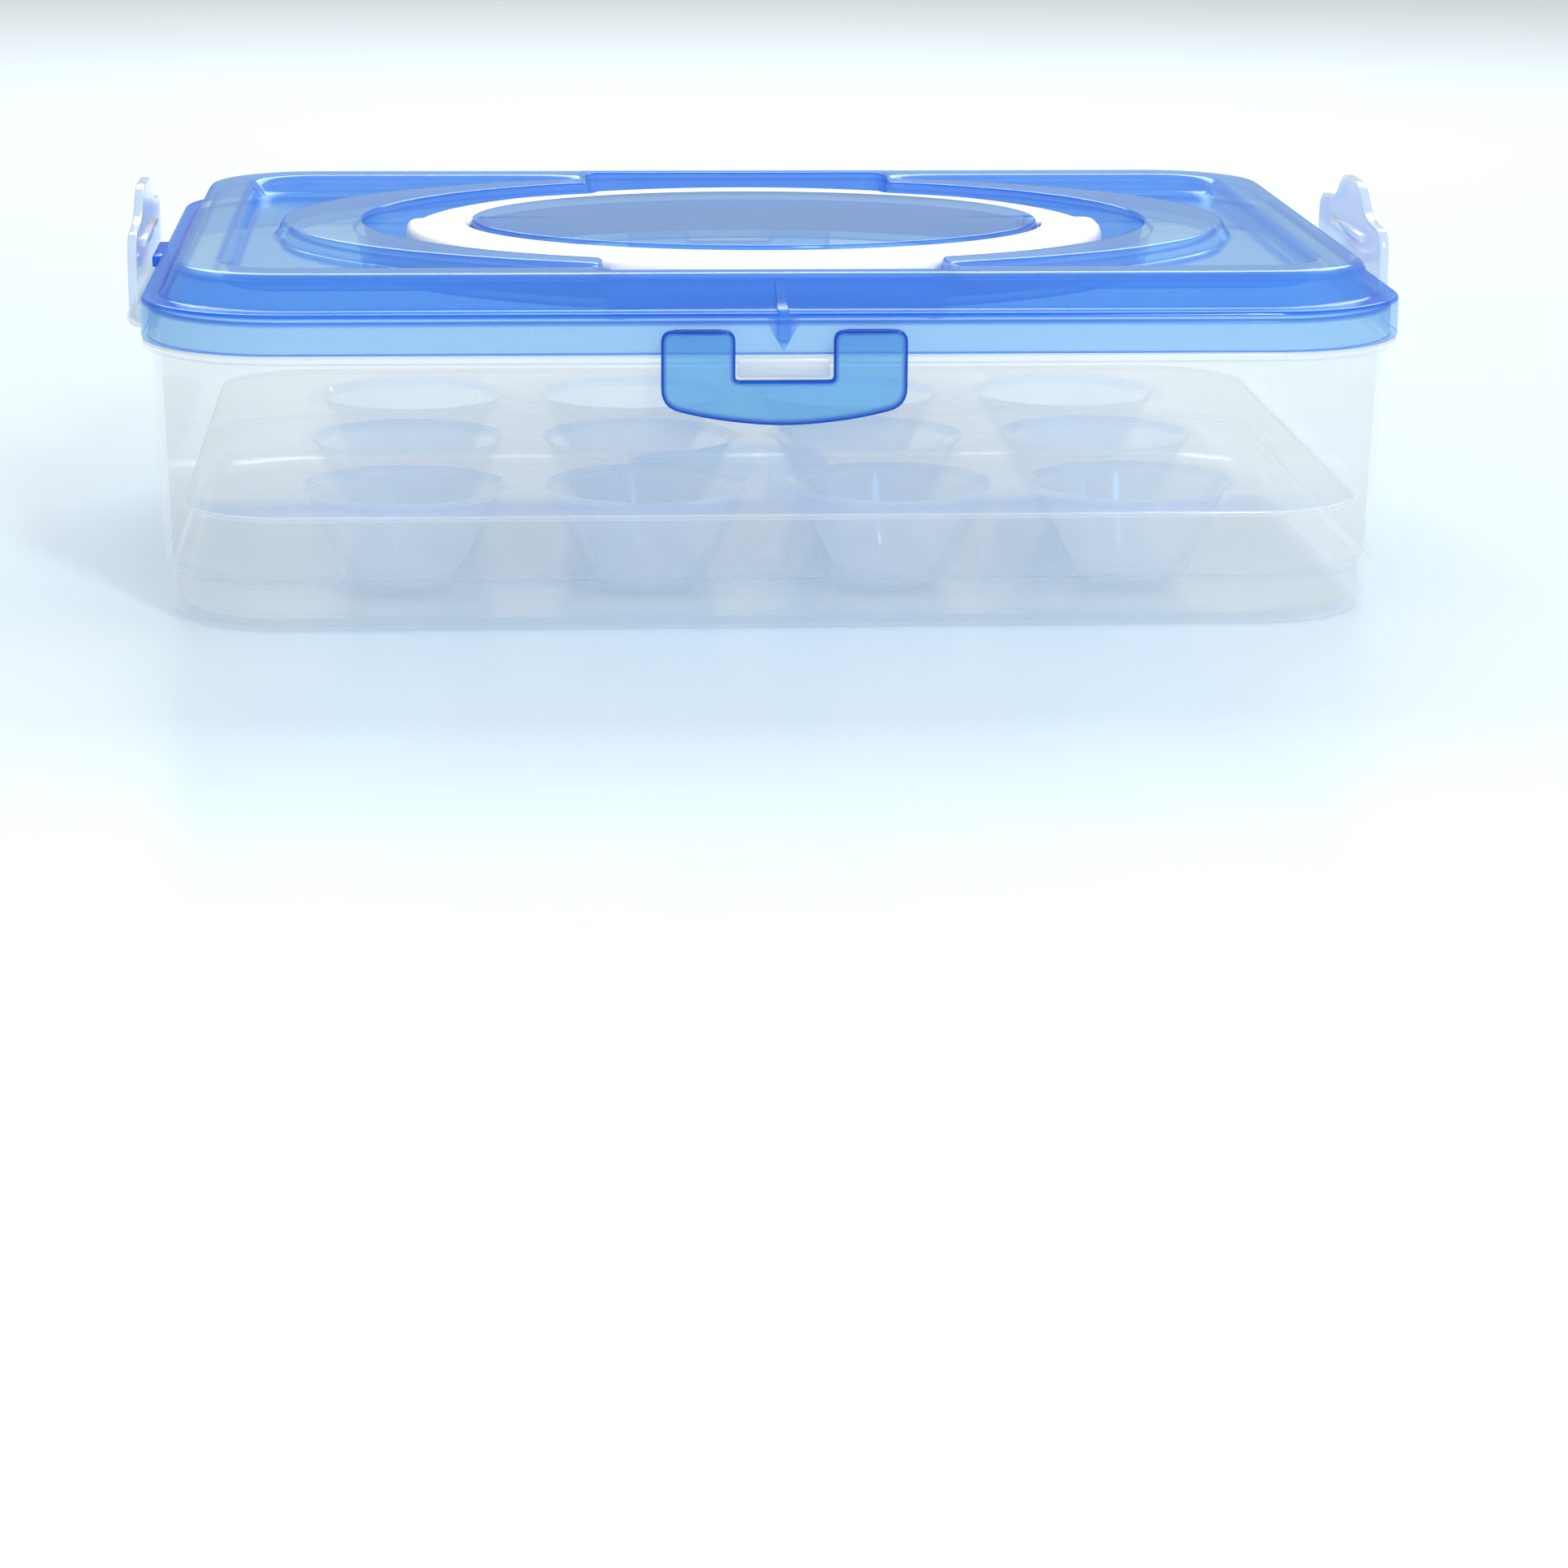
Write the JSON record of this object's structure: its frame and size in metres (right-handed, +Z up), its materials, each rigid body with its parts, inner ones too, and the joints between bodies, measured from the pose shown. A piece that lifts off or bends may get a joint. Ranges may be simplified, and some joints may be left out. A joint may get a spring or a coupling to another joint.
{
  "type": "egg holder tray",
  "caption": "Clear plastic egg carrier with a lift-out cup tray, a blue clip-on lid, a white fold-over handle and flap latches on all sides.",
  "frame": {"origin": "centre of the base, on the surface it stands on", "axes": "+X along the length, towards the right latch; +Y towards the rear latch, so the front latch faces -Y; +Z up"},
  "size_m": [0.2604, 0.196, 0.0775],
  "materials": {
    "clear_plastic": "clear, glossy, faintly blue",
    "tray_plastic": "clear, glossy",
    "blue_plastic": "translucent blue, glossy",
    "latch_plastic": "translucent blue, glossy",
    "side_latch_plastic": "clear, glossy",
    "white_plastic": "opaque white, satin"
  },
  "bodies": {
    "box": {"body": "clear_plastic"},
    "tray": {"egg_tray": "tray_plastic"},
    "cover": {"lid": "blue_plastic", "handle_rest": "white_plastic"},
    "handle": {"carry_handle": "white_plastic"},
    "front_flap": {"front_latch": "latch_plastic"},
    "rear_flap": {"rear_latch": "latch_plastic"},
    "left_flap": {"left_latch": "side_latch_plastic"},
    "right_flap": {"right_latch": "side_latch_plastic"}
  },
  "joints": [
    {"name": "lid_lift", "type": "slide", "parent": "box", "child": "cover", "axis": [0, 0, 1], "range_m": [0, 0.12]},
    {"name": "tray_lift", "type": "slide", "parent": "box", "child": "tray", "axis": [0, 0, 1], "range_m": [0, 0.054]},
    {"name": "handle_pivot", "type": "hinge", "parent": "cover", "child": "handle", "pos_m": [0, 0, 0.0682], "axis": [-1, 0, 0], "range_deg": [0, 180]},
    {"name": "front_latch_hinge", "type": "hinge", "parent": "cover", "child": "front_flap", "pos_m": [0, -0.0954, 0.06], "axis": [-1, 0, 0], "range_deg": [0, 100]},
    {"name": "rear_latch_hinge", "type": "hinge", "parent": "cover", "child": "rear_flap", "pos_m": [0, 0.0954, 0.06], "axis": [1, 0, 0], "range_deg": [0, 100]},
    {"name": "left_latch_hinge", "type": "hinge", "parent": "box", "child": "left_flap", "pos_m": [-0.1278, 0, 0.0545], "axis": [0, -1, 0], "range_deg": [0, 100]},
    {"name": "right_latch_hinge", "type": "hinge", "parent": "box", "child": "right_flap", "pos_m": [0.1278, 0, 0.0545], "axis": [0, 1, 0], "range_deg": [0, 100]}
  ],
  "couplings": [
    {"joint": "tray_lift", "follows": "lid_lift", "ratio": 0.45}
  ]
}
